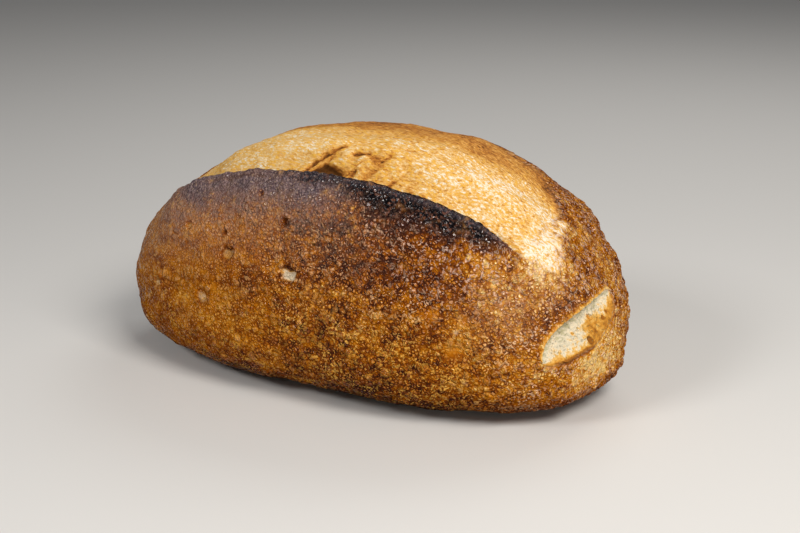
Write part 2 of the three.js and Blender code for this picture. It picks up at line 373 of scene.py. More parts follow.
def score_profile(girth, crest, along, opened, ragged):
    """Distance behind the crest, and height above the smooth body, all round one section."""
    shrink = min(girth / FULL_SIZE_GIRTH, 1)
    root, foot = EAR_ROOT * shrink, GROOVE_WIDTH * shrink
    front_share = 1 - (1 - np.arange(FRONT_POINTS) / FRONT_POINTS) ** FRONT_CROWDING
    front = -crest + (crest - root) * front_share
    front_lift = EAR_BACK * opened * ease(front + root, -EAR_FLARE * shrink, 0)
    front_lift += ragged * ease(front, -3 * root, -root)

    level = np.stack([np.linspace(-root, foot, LIP_POINTS), np.zeros(LIP_POINTS)], axis=1)
    lip = level + (EAR_CURVE - level) * opened
    lip[:, 1] += ragged * (1 - ease(np.linspace(0, 1, LIP_POINTS), 0.3, 0.55))

    back_share = (np.arange(1, BACK_POINTS + 1) / (BACK_POINTS + 1)) ** BACK_CROWDING
    back = foot + (girth - crest - foot) * back_share
    back_lift = bloom_lift(back, along, opened)
    run = np.concatenate([front, lip[:, 0], back])
    return run, np.concatenate([front_lift, lip[:, 1], back_lift])


def creases(x, across, wander):
    """Depth of the creases, and their painted shade, from 0 to 1. Wander bends their lines."""
    depth, dark = 0, 0
    for crease in CREASES:
        start, end = np.array(crease["from"]), np.array(crease["to"])
        length = np.linalg.norm(end - start)
        run = (end - start) / length
        forward = (x - start[0]) * run[0] + (across - start[1]) * run[1]
        aside = (across - start[1]) * run[0] - (x - start[0]) * run[1] + wander
        beyond = np.maximum(np.maximum(-forward, forward - length), 0)
        aside = aside * np.where(aside > 0, 1, CREASE_OVERHANG)
        line = bell(np.hypot(aside, beyond / 1.5), crease["width"])
        line = line * (0.85 + 0.15 * np.sin(forward + 3 * wander))
        depth = np.maximum(depth, crease["depth"] * line)
        dark = np.maximum(dark, line * min(crease["depth"], CREASE_DARKEST) / CREASE_DARKEST)
    return depth, dark


def patch(x, across, middle):
    """1 in the middle of an oval patch of the bloom, falling to 0 outside it."""
    ahead = (x - middle["x"]) / middle["length"]
    aside = (across - middle["across"]) / middle["width"]
    return 1 - ease(np.hypot(ahead, aside), *PATCH_FADE)


def lay_out_bloom(grid):
    """Adds how far inside the bloom's edge each point is, and its share of bloom."""
    grid.inside = bloom_inside(grid.along, grid.across)
    ragged_edge = 1.3 * grid.medium + 1.8 * grid.fine
    ragged_edge += 3 * rough(grid.points, 19, 63) * (1 - ease(grid.x, 40, 80))
    bloom = ease(grid.inside + ragged_edge, -2.4, 2.0)
    bloom *= ease(grid.through, 0.6, 0.8) * ease(grid.opened, 0.02, 0.2)
    grid.floured = near_to(grid.points, FLOURED) + 0.15 * grid.medium + 0.4 * grid.fine
    grid.floured += 0.35 * rough(grid.points, 1.5, 64)
    grid.bloom = np.maximum(bloom, ease(grid.floured, 0.2, 1.15))


def bloom_relief(grid):
    """Relief of the bloom: drawn-out ridges, creases, a hollow under the ear and torn crumb. Adds the
    painted shade of the creases and folds.
    """
    points, x, across = grid.points, grid.x, grid.across
    crease_depth, crease_dark = creases(x, across, 0.9 * grid.medium + 0.1 * grid.fine)
    grid.hollow = patch(x + 1.5 * grid.medium, across + grid.fine, HOLLOW)
    grid.torn = patch(x + 3 * grid.medium, across, TORN_CRUMB)
    grid.torn_lumps = rough(points, 5.5, 86) + 0.5 * rough(points, 3, 87)
    grid.torn_lumps = grid.torn * (1 - grid.hollow) * grid.torn_lumps
    slanting = np.stack([x - 0.6 * across, 0.35 * across, 0 * across], axis=-1)
    fold = bell(rough(slanting, 6, 94), 0.14) * grid.torn
    # painted shade of the creases and folds, for the bloom's colour
    grid.crease_dark = np.maximum(crease_dark, 0.35 * fold)
    ridges = 0.4 * rough(grid.stretched, 6, 83) + 0.3 * rough(grid.stretched, 2.2, 84)
    ridges += 0.2 * rough(points, 2.4, 88) + TORN_CRUMB["height"] * grid.torn_lumps
    sunk = crease_depth + 0.7 * fold + HOLLOW["depth"] * grid.hollow + TORN_CRUMB["sunk"] * grid.torn
    return grid.bloom * (ridges - sunk)


# ---- Burst in the near end -------------------------------------------------------------------
# Steam forced the crust of the near end open along a slanting line. Inside the sharp upper lip a
# pale patch of soft crumb shows, which slopes out to a swollen golden rim at its lower side.
BURST_MIDDLE_Y, BURST_MIDDLE_Z = -21.9, 48.3
BURST_TILT = math.radians(25.6)
BURST_LENGTH = 54
BURST_WIDTH = 20.5
BURST_DEPTH = 5.0
BURST_RIM = 1.3
BURST_BOW, BURST_SWAY = 0.8, 6.0
ELSEWHERE = 999

# Holes in the crumb: distance along and across the burst from its middle, radius and depth
CRUMB_HOLES = (
    {"along": 0.6, "across": 6.6, "radius": 1.1, "depth": 1.8, "golden": 0.2},
    {"along": 8.7, "across": 2.0, "radius": 1.3, "depth": 2.2, "golden": 0.15},
    {"along": 5.0, "across": 6.0, "radius": 1.2, "depth": 1.6, "golden": 0.1},
    {"along": -5.2, "across": 6.6, "radius": 0.9, "depth": 1.8, "golden": 0.3},
    {"along": -7.4, "across": 0.2, "radius": 1.0, "depth": 1.0, "golden": 0.25},
    {"along": -15.4, "across": 4.4, "radius": 0.9, "depth": 0.9, "golden": 0.1},
    {"along": -1.0, "across": -7.0, "radius": 1.6, "depth": 1.3, "golden": 0.6},
    {"along": 15.2, "across": -3.6, "radius": 1.2, "depth": 1.2, "golden": 0.5},
    {"along": 19.2, "across": -3.4, "radius": 1.1, "depth": 1.2, "golden": 0.4},
)
TOASTED_CRUMB = {"along": 4.5, "across": -2.6, "reach": 5.0, "more": 0.5}


def burst_place(points):
    """Millimetres along and across the burst, and its half width there, on the near end."""
    dy, dz = points[..., 1] - BURST_MIDDLE_Y, points[..., 2] - BURST_MIDDLE_Z
    along = dy * math.cos(BURST_TILT) + dz * math.sin(BURST_TILT)
    share = np.clip(along / (BURST_LENGTH / 2), -1, 1)
    middle = (1 - share**2) * (BURST_BOW - BURST_SWAY * share)
    across = dz * math.cos(BURST_TILT) - dy * math.sin(BURST_TILT) - middle
    half_width = BURST_WIDTH / 2 * np.sqrt(1 - share**2) + 1e-3
    away = np.where(points[..., 0] > LENGTH / 4, 0, ELSEWHERE)
    return along + away, across + away, half_width


def lay_out_burst(grid):
    """Adds each point's place in the burst, and its share of bare crumb."""
    grid.burst_along, grid.burst_across, half_width = burst_place(grid.points)
    wobble = 0.55 * rough(grid.points, 3.6, 71) + 0.25 * rough(grid.points, 1.4, 72)
    off_edge = np.abs(grid.burst_across + wobble) - half_width
    grid.off_edge = np.where(np.abs(grid.burst_along) < BURST_LENGTH / 2, off_edge, ELSEWHERE)
    grid.crumb = 1 - ease(grid.off_edge, -0.5, 0.3)

    # from -1 at the lower side of the burst to 1 at its upper lip
    grid.slope = np.clip((grid.burst_across + wobble) / half_width, -1.2, 1.2)
    lower_side = (grid.slope < 0) * ease(-grid.burst_along, -2, 4) * ease(grid.burst_along, -25, -18)
    grid.lower_lip = bell(grid.off_edge - 0.3, 0.9) * lower_side


def burst_relief(grid):
    """Relief of the burst: a wall under the upper lip, crumb sloping out, its holes and the rim."""
    along, across, off_edge = grid.burst_along, grid.burst_across, grid.off_edge
    depth = np.clip((grid.slope + 1.0) / 1.5, 0, 1)
    depth = depth * (1 - ease(off_edge, -1.4, 0.2) * (grid.slope > 0))
    inside_burst = (off_edge < 0.6) * ease(BURST_LENGTH / 2 - np.abs(along), 0, 6)
    relief = 0.25 * grid.lower_lip - BURST_DEPTH * depth * inside_burst
    grid.hole_shade = 0
    for hole in CRUMB_HOLES:
        gap = np.hypot(along - hole["along"], (across - hole["across"]) / 1.25) + 0.5 * grid.fine
        gap = gap / hole["radius"]
        grid.hole_shade = np.maximum(grid.hole_shade, hole["golden"] * (1 - ease(gap, 0.5, 1.3)))
        relief -= hole["depth"] * (1 - ease(gap, 0.4, 1.1)) * inside_burst
    pores, pore_share = nearest_spot(grid.points, 3.2, 91)
    pores = 0.6 * (1 - ease(pores, 0.3, 1.0)) * (pore_share < 0.6)
    grid.wisps = rough(np.stack([along, 0.3 * across, 0 * along], axis=-1), 2.4, 93)
    relief += grid.crumb * (0.55 * grid.wisps - pores - 0.3 * rough(grid.points, 1.6, 92))
    upper_side = ease(grid.slope, -0.7, 0.5)
    return relief + BURST_RIM * (1 - ease(off_edge, 0, 8)) * (1 - grid.crumb) * upper_side


# ---- Pits, glaze, browning and painted shade -------------------------------------------------
# A few blisters on the front wall broke open into pits, and some spread into smooth glazed patches.
# The oven browned the loaf most under the ear and round the burst, and least low on the near end.
# The same brown also carries painted shade: low towards the sole, in the pits, the creases and the
# hollow, and on the crumb under the burst's upper lip.
PIT_RIM_HEIGHT = 0.35

# A pit is placed by its x and its height on the front wall. Pale is how bare its crumb lies.
PITS = (
    {"x": -2.2, "height": 68.7, "radius": 5.2, "depth": 2.6, "pale": 0.8},
    {"x": -39.5, "height": 73.2, "radius": 4.2, "depth": 2.0, "pale": 0.35},
    {"x": -42.6, "height": 82.7, "radius": 1.4, "depth": 1.4, "pale": 0.0},
    {"x": -6.9, "height": 93.2, "radius": 2.3, "depth": 2.4, "pale": 0.0},
    {"x": -67.6, "height": 82.0, "radius": 2.2, "depth": 1.2, "pale": 0.3},
    {"x": -54.0, "height": 48.5, "radius": 4.4, "depth": 0.8, "pale": 0.42},
    {"x": -90.6, "height": 47.3, "radius": 3.0, "depth": 0.8, "pale": 0.4},
    {"x": 10.7, "height": 84.6, "radius": 0.9, "depth": 1.3, "pale": 0.0},
    {"x": -22.8, "height": 103.9, "radius": 1.6, "depth": 1.1, "pale": 0.0},
    {"x": 112.0, "height": 60.5, "radius": 1.5, "depth": 1.0, "pale": 0.0},
)

# Spots of smooth glaze, and the most of it that any place has
GLAZED = (
    ((82.7, -66, 41.7), 4.6, 0.8),
    ((72.6, -68.8, 58.5), 3.2, 0.5),
    ((87.8, -63.5, 58), 2.6, 0.5),
    ((-68, -61, 84), 4.0, 0.7),
    ((-88, -62, 52), 3.0, 0.6),
    ((131, -18, 28), 18, 0.22),
)
GLAZE_MOST = 0.85
FAR_END_GLAZE = 0.4
BURST_EDGE_GLAZE = 0.7

# How brown each part is, painted shade included, from 0 for pale gold to 1 for nearly black, and where
# the crust is browner
CRUST_BROWN = 0.39
SOLE_BROWN = 0.32
FAR_LOW_BROWN = 0.13
BURST_EDGE_PALER = 0.34
SCORCH_BROWN = 0.35
BLOOM_BROWN = 0.3
BLOOM_TOP_BROWN = 0.40
CRUMB_BROWN = 0.26
PIT_BROWN = 0.08

# Spots that are browner than the rest of the crust, or paler, and streaks along the front wall
BROWNED = (
    ((20, -68, 88), 20, 0.29),
    ((48, -67, 84), 18, 0.32),
    ((74, -64, 76), 15, 0.14),
    ((0, -72, 72), 20, 0.03),
    ((122, -37, 62), 7, 0.16),
    ((118, -47, 52), 7, 0.18),
    ((128, -18, 65), 6, 0.14),
    ((103, -54, 68), 15, -0.22),
    ((88, -52, 88), 9, -0.14),
    ((112, -31, 80), 13, -0.40),
    ((131, -18, 30), 18, -0.50),
    ((134, 4, 36), 13, -0.28),
    ((118, 6, 80), 24, -0.09),
    ((106, -8, 91), 8, -0.2),
    ((110, -54, 30), 18, -0.12),
    ((125, -30, 14), 9, 0.14),
    ((119, -46, 36), 9, -0.15),
    ((60, -70, 60), 18, -0.08),
    ((35, -68, 28), 34, 0.27),
    ((-75, -62, 38), 34, -0.04),
    ((-100, -45, 78), 24, -0.04),
)
STREAK_FADE = 12
STREAKS = (
    {"height": 94, "lean": -0.05, "thickness": 4.0, "from": -75, "to": 10, "more": 0.14},
    {"height": 83, "lean": -0.09, "thickness": 4.5, "from": -30, "to": 60, "more": 0.07},
    {"height": 68, "lean": -0.04, "thickness": 3.5, "from": -90, "to": -20, "more": 0.09},
)


def open_pits(grid):
    """Adds the pits' relief, their pale insides and dark rims with painted shade under their upper
    edges, and where dust has fallen off.
    """
    off_wall = ELSEWHERE * (grid.points[..., 1] > 0)
    grid.pit_height, grid.pit_pale, grid.pit_rim, grid.in_pit = 0, 0, 0, 0
    for pit in PITS:
        ahead = grid.points[..., 0] - pit["x"]
        above = grid.points[..., 2] - pit["height"]
        gap = np.hypot(ahead, above) / pit["radius"] + 0.3 * grid.fine + off_wall
        # roof is the upper inside of a pit: darker and not pale there, as painted shade under its upper
        # edge
        roof = ease(above / pit["radius"] + 0.2 * grid.fine, 0.1, 0.45)
        sunk, bare = 1 - ease(gap, 0.5, 1.05), 1 - ease(gap, 0.5, 0.85)
        grid.in_pit = np.maximum(grid.in_pit, 1 - ease(gap, 0.8, 1.4))
        grid.pit_height = grid.pit_height - pit["depth"] * sunk + PIT_RIM_HEIGHT * bell(gap - 1.35, 0.3)
        grid.pit_pale = np.maximum(grid.pit_pale, pit["pale"] * bare * (1 - roof))
        grid.pit_rim = grid.pit_rim + (1 - pit["pale"]) * bell(gap, 1.0)
        grid.pit_rim = grid.pit_rim + 1.2 * roof * pit["pale"] * bell(gap, 0.8)
        grid.pit_rim = grid.pit_rim - 0.5 * pit["pale"] * bell(gap - 1.15, 0.3) * (1 - roof)


def glaze_patches(grid):
    """Adds the share of smooth glaze: in patches, towards the far end and along the burst."""
    patches = np.clip(near_to(grid.points, GLAZED) * (1.4 + 0.6 * grid.medium), 0, GLAZE_MOST)
    far_end = FAR_END_GLAZE * (1 - ease(grid.x, -70, 30))
    beside_burst = BURST_EDGE_GLAZE * bell(grid.off_edge - 0.6, 1.3)
    grid.glaze = np.maximum(np.maximum(patches, far_end), beside_burst)


def crust_browning(grid):
    """How brown the crust is: in patches and streaks, round the pits with painted shade under their
    upper edges, and darker towards the sole, partly as painted shade near the floor.
    """
    points, x, height = grid.points, grid.x, grid.points[..., 2]
    # darker low on the wall towards the sole: partly browning, partly painted shade near the floor
    brown = CRUST_BROWN + near_to(points, BROWNED) + SOLE_BROWN * ease(-height, -26, -2)
    brown += 0.07 * rough(points, 42, 101) + 0.07 * rough(points, 15, 102)
    brown += 0.12 * rough(grid.stretched, 5, 104)
    brown += FAR_LOW_BROWN * (1 - ease(x, -60, 60)) * (1 - ease(height, 40, 75))
    for streak in STREAKS:
        aside = height - streak["height"] - streak["lean"] * x + 3 * grid.medium
        start, end = streak["from"], streak["to"]
        on_front = ease(x, start - STREAK_FADE, start) * (1 - ease(x, end, end + STREAK_FADE))
        on_front = on_front * ease(-points[..., 1], 20, 35)
        brown += streak["more"] * bell(aside, streak["thickness"]) * on_front * (1 + 0.5 * grid.fine)
    brown += 0.3 * grid.pit_rim + 0.5 * grid.lower_lip
    return brown - BURST_EDGE_PALER * bell(grid.off_edge - 0.6, 1.4) * ease(grid.slope, -1, 0.2)


def bloom_browning(grid):
    """How brown the bloom is: most towards its top, with painted shade in its creases and the hollow,
    and painted shading on the torn lumps.
    """
    points, x, across = grid.points, grid.x, grid.across
    edge_band = bell(grid.inside + 1, 7) * ease(across, 20, 45)
    brown = BLOOM_BROWN + BLOOM_TOP_BROWN * ease(across, 34, 62) - 0.2 * ease(x, 96, 108)
    brown -= 0.13 * ease(x, 45, 95) * ease(across, 15, 45) + 0.12 * ease(grid.floured, 0.5, 1.2)
    brown += 0.2 * edge_band + 0.08 * rough(points, 20, 105) + 0.08 * rough(grid.stretched, 5, 106)
    # the torn lumps are paler on their tops and darker between them, partly painted shading
    brown += 0.09 * grid.torn - 0.2 * grid.torn_lumps - 0.02 * (1 - ease(x, -40, 0))
    # painted shade in the creases, the folds and the hollow
    return brown + 0.8 * grid.crease_dark + 1.2 * grid.hollow


def crumb_browning(grid):
    """How golden the crumb is: most at its lower side, in its holes and along its edge, and greyer on
    its upper side as painted shade under the lip.
    """
    points, along, slope = grid.points, grid.burst_along, grid.slope
    # greyer on the upper side: painted shade under the burst's upper lip
    brown = CRUMB_BROWN - 0.22 * ease(slope, 0.0, 0.8) + 0.32 * ease(-slope, 0.2, 0.9)
    brown += 0.2 * ease(along, -3, 10) * ease(-slope, -0.6, 0.5) * (1 + 0.7 * rough(points, 5, 108))
    toasted = np.hypot(along - TOASTED_CRUMB["along"], grid.burst_across - TOASTED_CRUMB["across"])
    brown += TOASTED_CRUMB["more"] * bell(toasted + 1.5 * grid.fine, TOASTED_CRUMB["reach"])
    open_side = (slope < 0) * ease(along, -4, 4)
    brown += 0.3 * ease(grid.off_edge, -1.6, -0.6) * (1 - 0.8 * open_side)
    brown += grid.hole_shade + 0.12 * rough(points, 2.4, 107)
    return brown + 0.1 * grid.wisps + 0.8 * grid.lower_lip


def browning(grid):
    """How brown each place is, with its painted shade, the scorched band under the ear and the pale
    pits.
    """
    brown = crust_browning(grid) * grid.skin + bloom_browning(grid) * grid.bloom
    brown += crumb_browning(grid) * grid.crumb * (1 - grid.bloom)
    bloom_rim = bell(grid.inside - 0.3 + 0.8 * grid.medium, 0.9)
    bloom_rim = bloom_rim * ease(grid.across, 38, 48) * (1 - ease(grid.across, 62, 78))
    brown += 0.3 * bloom_rim * ease(grid.x, 60, 90)
    brown += SCORCH_BROWN * grid.scorched
    return brown * (1 - grid.pit_pale) + PIT_BROWN * grid.pit_pale


# ---- Char, ash and dust ----------------------------------------------------------------------
# The ear stood up into the heat: its edge charred black towards the burst end and turned ash-grey
# towards the far end, and a thin grey line along its whole crest is painted rim highlight. A dusty
# film of flour stayed high on the front wall, and the same film on spots of the near end is painted
# sheen.
CHAR_THINNEST = 2
CHAR_WIDENING = 8.5
CHAR_FROM_X = (-60, 0)
CHAR_TO_X = (88, 104)
ASH_WIDTH = 27
DUST_WIDTH = 52

# Spots of the near end that get the dusty film too, as painted sheen
DUSTED = (
    ((104, -54, 64), 15, 0.7),
    ((118, -34, 70), 10, 0.5),
)


def char_ear(grid):
    """Adds the char along the ear's edge, and the scorched crust just below it."""
    x, below = grid.x, grid.below_crest
    band = CHAR_THINNEST + CHAR_WIDENING * ease(x, 6, 50) * (1 - 0.6 * ease(x, 62, 100))
    char = (1 - ease(below, 0.5 * band, 1.5 * band + 1)) * ease(x, *CHAR_FROM_X)
    char = char * (1 - ease(x, *CHAR_TO_X)) * grid.on_ear
    far_line = bell(grid.across + 1.6 + 0.4 * grid.fine, 0.9) * ease(x, -75, -50) * (1 - ease(x, 10, 20))
    grid.char = np.maximum(char, 0.8 * far_line * grid.on_ear)
    scorched = (1 - ease(below, 0.5 * band, 2.4 * band + 3)) * ease(x, -30, 10)
    scorched = scorched * (1 - ease(x, *CHAR_TO_X)) * grid.on_ear
    grid.scorched = scorched * (1 - 0.6 * ease(x, 50, 80) * ease(below, band, 1.8 * band))


def ash_and_dust(grid):
    """Adds the ash on the far half of the ear with a painted rim highlight along the crest, the dust
    under it, and painted sheen on spots of the near end. Ash and dust have left the pits.
    """
    x, below = grid.x, grid.below_crest
    ash = (1 - ease(below, 1, ASH_WIDTH)) * (1 - ease(x, 4, 36))
    ash = ash * (0.3 + 0.7 * ease(x, -100, -70)) * grid.on_ear
    # a thin grey line along the whole crest, in the ash colours, is painted rim highlight
    ash = np.maximum(ash * (1 - 0.7 * grid.char), 0.4 * bell(grid.across + 0.2, 1.0) * grid.on_ear)
    grid.ash = ash * (1 - 0.7 * grid.in_pit)
    dust = (1 - ease(below, 14, DUST_WIDTH)) * (1 - ease(x, -25, 65))
    dust = dust * (1 - grid.through * ease(grid.opened, 0, 0.2)) * (1 - ease(grid.across, 0, 30))
    dust = dust * ease(grid.points[..., 2], 30, 80) * (1 - grid.in_pit)
    # the spots of the near end are painted sheen, not dust
    grid.dust = np.maximum(dust, near_to(grid.points, DUSTED)) * grid.skin


# ---- The loaf itself -------------------------------------------------------------------------
# One closed skin from pole to pole. Each point also carries how much of each finish it has:
# bloom, char, ash with the painted rim highlight of the crest, dust with the painted sheen of the
# near end, bare crumb, blister, glaze, sole, and how long the oven browned it together with its painted
# shade.
FINISHES = ("bloom", "char", "ash", "dust", "blister", "glaze", "crumb", "sole", "brown")
TRIANGLES = 198_000
NORMAL_STEP = 0.8
MEDIUM_PITCH = 7
FINE_PITCH = 2.6
SKIN_STRETCH = np.array([0.35, 1, 1])
SOLE_FADE = (0.2, 3)


def lifted(y, z, edge, place, lift):
    """Y and Z at those places along the edge of one section, lifted square to it."""
    ahead, behind = np.minimum(place + NORMAL_STEP, edge[-1]), np.maximum(place - NORMAL_STEP, 0)
    dy = np.interp(ahead, edge, y) - np.interp(behind, edge, y)
    dz = np.interp(ahead, edge, z) - np.interp(behind, edge, z)
    size = np.hypot(dy, dz) + 1e-9
    return np.interp(place, edge, y) - dz / size * lift, np.interp(place, edge, z) + dy / size * lift


def smooth_loaf():
    """The loaf without its relief, by ring and by place round the ring, and where each point lies."""
    columns = FRONT_POINTS + LIP_POINTS + BACK_POINTS
    ring_x = ring_places()
    ring_along, ring_opened = score_at(ring_x)
    on_edge = np.stack([ring_x, 0 * ring_x, 0 * ring_x], axis=-1)
    ragged = ring_opened * (0.7 * rough(on_edge, 6.5, 41) + 0.6 * rough(on_edge, 2.4, 42))
    points = np.zeros((RINGS, columns, 3))
    across = np.zeros((RINGS, columns))
    for ring in range(RINGS):
        y, z = body_outline(ring_x[ring])
        edge = np.concatenate([[0], np.cumsum(np.hypot(np.diff(y), np.diff(z)))])
        crest = edge[OUTLINE_STEPS * (180 - CREST_DEGREES) // 360]
        run, lift = score_profile(edge[-1], crest, ring_along[ring], ring_opened[ring], ragged[ring])
        place = np.clip(crest + run, 0, edge[-1])
        points[ring, :, 0] = ring_x[ring]
        points[ring, :, 1], points[ring, :, 2] = lifted(y, z, edge, place, lift)
        across[ring] = run
    grid = SimpleNamespace(points=points, across=across)
    grid.x, grid.along, grid.opened = (
        np.repeat(each[:, None], columns, axis=1) for each in (ring_x, ring_along, ring_opened)
    )
    grid.through = np.concatenate([
        np.zeros(FRONT_POINTS), np.linspace(0, 1, LIP_POINTS), np.ones(BACK_POINTS),
    ])
    grid.stretched = points * SKIN_STRETCH
    grid.medium, grid.fine = rough(points, MEDIUM_PITCH, 61), rough(points, FINE_PITCH, 62)
    grid.below_crest = -across + 3.2 * grid.medium + 2 * grid.fine
    grid.on_ear = ease(grid.opened, 0, 0.4) * (1 - ease(grid.through, 0.35, 0.6))
    return grid


def outward(points):
    """Unit vectors square to the skin, pointing out."""
    round_ring = np.roll(points, -1, axis=1) - np.roll(points, 1, axis=1)
    along_loaf = np.gradient(points, axis=0)
    normal = np.cross(along_loaf, round_ring)
    return normal / (np.linalg.norm(normal, axis=-1, keepdims=True) + 1e-12)


def skin_mesh(grid):
    """The mesh through the points, with faces between rings, and a fan of faces over each pole."""
    points = grid.points
    columns = points.shape[1]
    count = RINGS * columns
    poles = np.array([points[0].mean(axis=0), points[-1].mean(axis=0)])
    index = np.arange(count).reshape(RINGS, columns)
    beside = np.roll(index, -1, axis=1)
    quads = np.stack([index[:-1], index[1:], beside[1:], beside[:-1]], axis=-1).reshape(-1, 4)
    first_fan = np.stack([index[0], beside[0], np.full(columns, count)], axis=-1)
    last_fan = np.stack([beside[-1], index[-1], np.full(columns, count + 1)], axis=-1)

    mesh = bpy.data.meshes.new("loaf_skin")
    corners = np.vstack([points.reshape(-1, 3), poles]) * MM
    mesh.from_pydata(corners, [], quads.tolist() + first_fan.tolist() + last_fan.tolist())
    for name in FINISHES:
        share = np.append(getattr(grid, name).ravel(), [0, 0])
        mesh.attributes.new(name, "FLOAT", "POINT").data.foreach_set("value", share.astype(np.float32))
    mesh.update()
    return mesh


def make_loaf():
    """The whole skin: the smooth loaf, its relief, and its finishes."""
    grid = smooth_loaf()
    lay_out_bloom(grid)
    lay_out_burst(grid)
    grid.skin = (1 - grid.bloom) * (1 - grid.crumb)
    open_pits(grid)
    glaze_patches(grid)
    relief = crust_relief(grid) + bloom_relief(grid) + burst_relief(grid)
    grid.points = grid.points + outward(grid.points) * relief[..., None]
    grid.points[..., 2] = np.maximum(grid.points[..., 2], 0)
    char_ear(grid)
    ash_and_dust(grid)

    grid.sole = 1 - ease(grid.points[..., 2], *SOLE_FADE)
    grid.brown = browning(grid)
    grid.crumb = np.maximum(grid.crumb, grid.pit_pale)
    corners = grid.points.reshape(-1, 3)
    low, high = corners.min(axis=0), corners.max(axis=0)
    grid.points = BOX_LOW + (grid.points - low) / (high - low) * (BOX_HIGH - BOX_LOW)
    return skin_mesh(grid)


loaf = bpy.data.objects.new("loaf_crust", make_loaf())
bpy.context.scene.collection.objects.link(loaf)
thinning = loaf.modifiers.new("thinning", "DECIMATE")
triangle_count = sum(len(face.vertices) - 2 for face in loaf.data.polygons)
thinning.ratio = min(TRIANGLES / triangle_count, 1)
evaluated = loaf.evaluated_get(bpy.context.evaluated_depsgraph_get())
thinned = bpy.data.meshes.new_from_object(evaluated)
loaf.modifiers.clear()
loaf.data = thinned
loaf.data.shade_smooth()
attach(loaf, "root")
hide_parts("loaf")


# ---- Finish: noise and bubbles ----------------------------------------------------------------
# The whole loaf has one finish, baked dough. Its fine patterns are drawn here from noise and from
# packed bubbles, in millimetres on the loaf. The sections after this one give them their colours.
crust = bpy.data.materials.new("baked_crust")
crust.use_nodes = True
crust_nodes = crust.node_tree.nodes
crust_links = crust.node_tree.links
shader = crust_nodes["Principled BSDF"]


def wire(socket, value):
    """Give the socket a value, or link another node's output to it."""
    if isinstance(value, bpy.types.NodeSocket):
        crust_links.new(value, socket)
    else:
        socket.default_value = value


def node(kind, settings=None, **sockets):
    """A shader node of that kind. A socket takes a value or another node's output."""
    made = crust_nodes.new("ShaderNode" + kind)
    for name, value in (settings or {}).items():
        setattr(made, name, value)
    for name, value in sockets.items():
        wire(made.inputs[name.replace("_", " ")], value)
    return made


def maths(operation, first, second=0.0):
    made = node("Math", {"operation": operation})
    wire(made.inputs[0], first)
    wire(made.inputs[1], second)
    return made.outputs[0]


def centred(share):
    return maths("SUBTRACT", share, 0.5)


def total(*shares):
    added = shares[0]
    for share in shares[1:]:
        added = maths("ADD", added, share)
    return added


def times(*shares):
    product = shares[0]
    for share in shares[1:]:
        product = maths("MULTIPLY", product, share)
    return product


def ranged(value, from_low, from_high, to_low=0.0, to_high=1.0):
    made = node("MapRange", {"interpolation_type": "SMOOTHSTEP"})
    for name, number in zip(("Value", "From Min", "From Max", "To Min", "To Max"),
                            (value, from_low, from_high, to_low, to_high)):
        wire(made.inputs[name], number)
    return made.outputs["Result"]


def mixed(share, first, second):
    made = node("Mix", {"data_type": "RGBA"})
    wire(made.inputs["Factor"], share)
    for socket, colour in zip((made.inputs[6], made.inputs[7]), (first, second)):
        wire(socket, colour if isinstance(colour, bpy.types.NodeSocket) else (*colour, 1))
    return made.outputs[2]


def blended(share, first, second):
    made = node("Mix", {"data_type": "FLOAT"})
    wire(made.inputs["Factor"], share)
    wire(made.inputs[2], first)
    wire(made.inputs[3], second)
    return made.outputs[0]


def colour_ramp(share, stops):
    made = node("ValToRGB")
    wire(made.inputs["Fac"], share)
    elements = made.color_ramp.elements
    while len(elements) < len(stops):
        elements.new(0.5)
    for element, (position, colour) in zip(elements, stops):
        element.position = position
        element.color = (*colour, 1)
    return made.outputs["Color"]


# places on the loaf in millimetres, and the same drawn out along the slanting score
FIBRE_SLANT = math.radians(10)
FIBRE_STRETCH = (0.38, 1, 1)
on_loaf = node("TexCoord").outputs["Object"]
surface_mm = node("VectorMath", {"operation": "SCALE"}, Vector=on_loaf, Scale=1 / MM)
surface_mm = surface_mm.outputs["Vector"]
slanted = node("VectorRotate", {"rotation_type": "Z_AXIS"}, Vector=surface_mm, Angle=FIBRE_SLANT)
drawn_out = node("VectorMath", {"operation": "MULTIPLY"}, Vector=slanted.outputs["Vector"])
drawn_out = drawn_out.outputs["Vector"]
wire(drawn_out.node.inputs[1], FIBRE_STRETCH)
length_along, _, height_up = node("SeparateXYZ", Vector=surface_mm).outputs


def noise(pitch, detail=2.0, roughness=0.5, vector=surface_mm):
    made = node("TexNoise", Vector=vector, Scale=1 / pitch, Detail=detail, Roughness=roughness)
    return made.outputs["Fac"]


# small random shifts, so that no bubble is a plain round cell
SHIFT_PITCH = 1.6
SHIFT_REACH = 0.9
shift = node("TexNoise", Vector=surface_mm, Scale=1 / SHIFT_PITCH, Detail=1.0).outputs["Color"]
shift = node("VectorMath", {"operation": "SCALE"}, Vector=shift, Scale=SHIFT_REACH)
shifted = node("VectorMath", {"operation": "ADD"}, Vector=surface_mm).outputs["Vector"]
wire(shifted.node.inputs[1], shift.outputs["Vector"])


def bubbles(pitch):
    """Packed bubbles: 1 on each dome and 0 between, 1 on each thin rim, and each one's own share."""
    cells = node("TexVoronoi", Vector=shifted, Scale=1 / pitch)
    edges = node("TexVoronoi", {"feature": "DISTANCE_TO_EDGE"}, Vector=shifted, Scale=1 / pitch)
    own = node("SeparateColor", Color=cells.outputs["Color"]).outputs["Red"]
    inward = edges.outputs["Distance"]
    dome = ranged(inward, 0.0, 0.3)
    rim = times(ranged(inward, 0.03, 0.09), ranged(inward, 0.17, 0.26, 1.0, 0.0))
    return dome, rim, own


(
    bloom_share, char_share, ash_share, dust_share, blister_height,
    glaze_share, crumb_share, sole_share, brown_share,
) = (node("Attribute", {"attribute_name": name}).outputs["Fac"] for name in FINISHES)


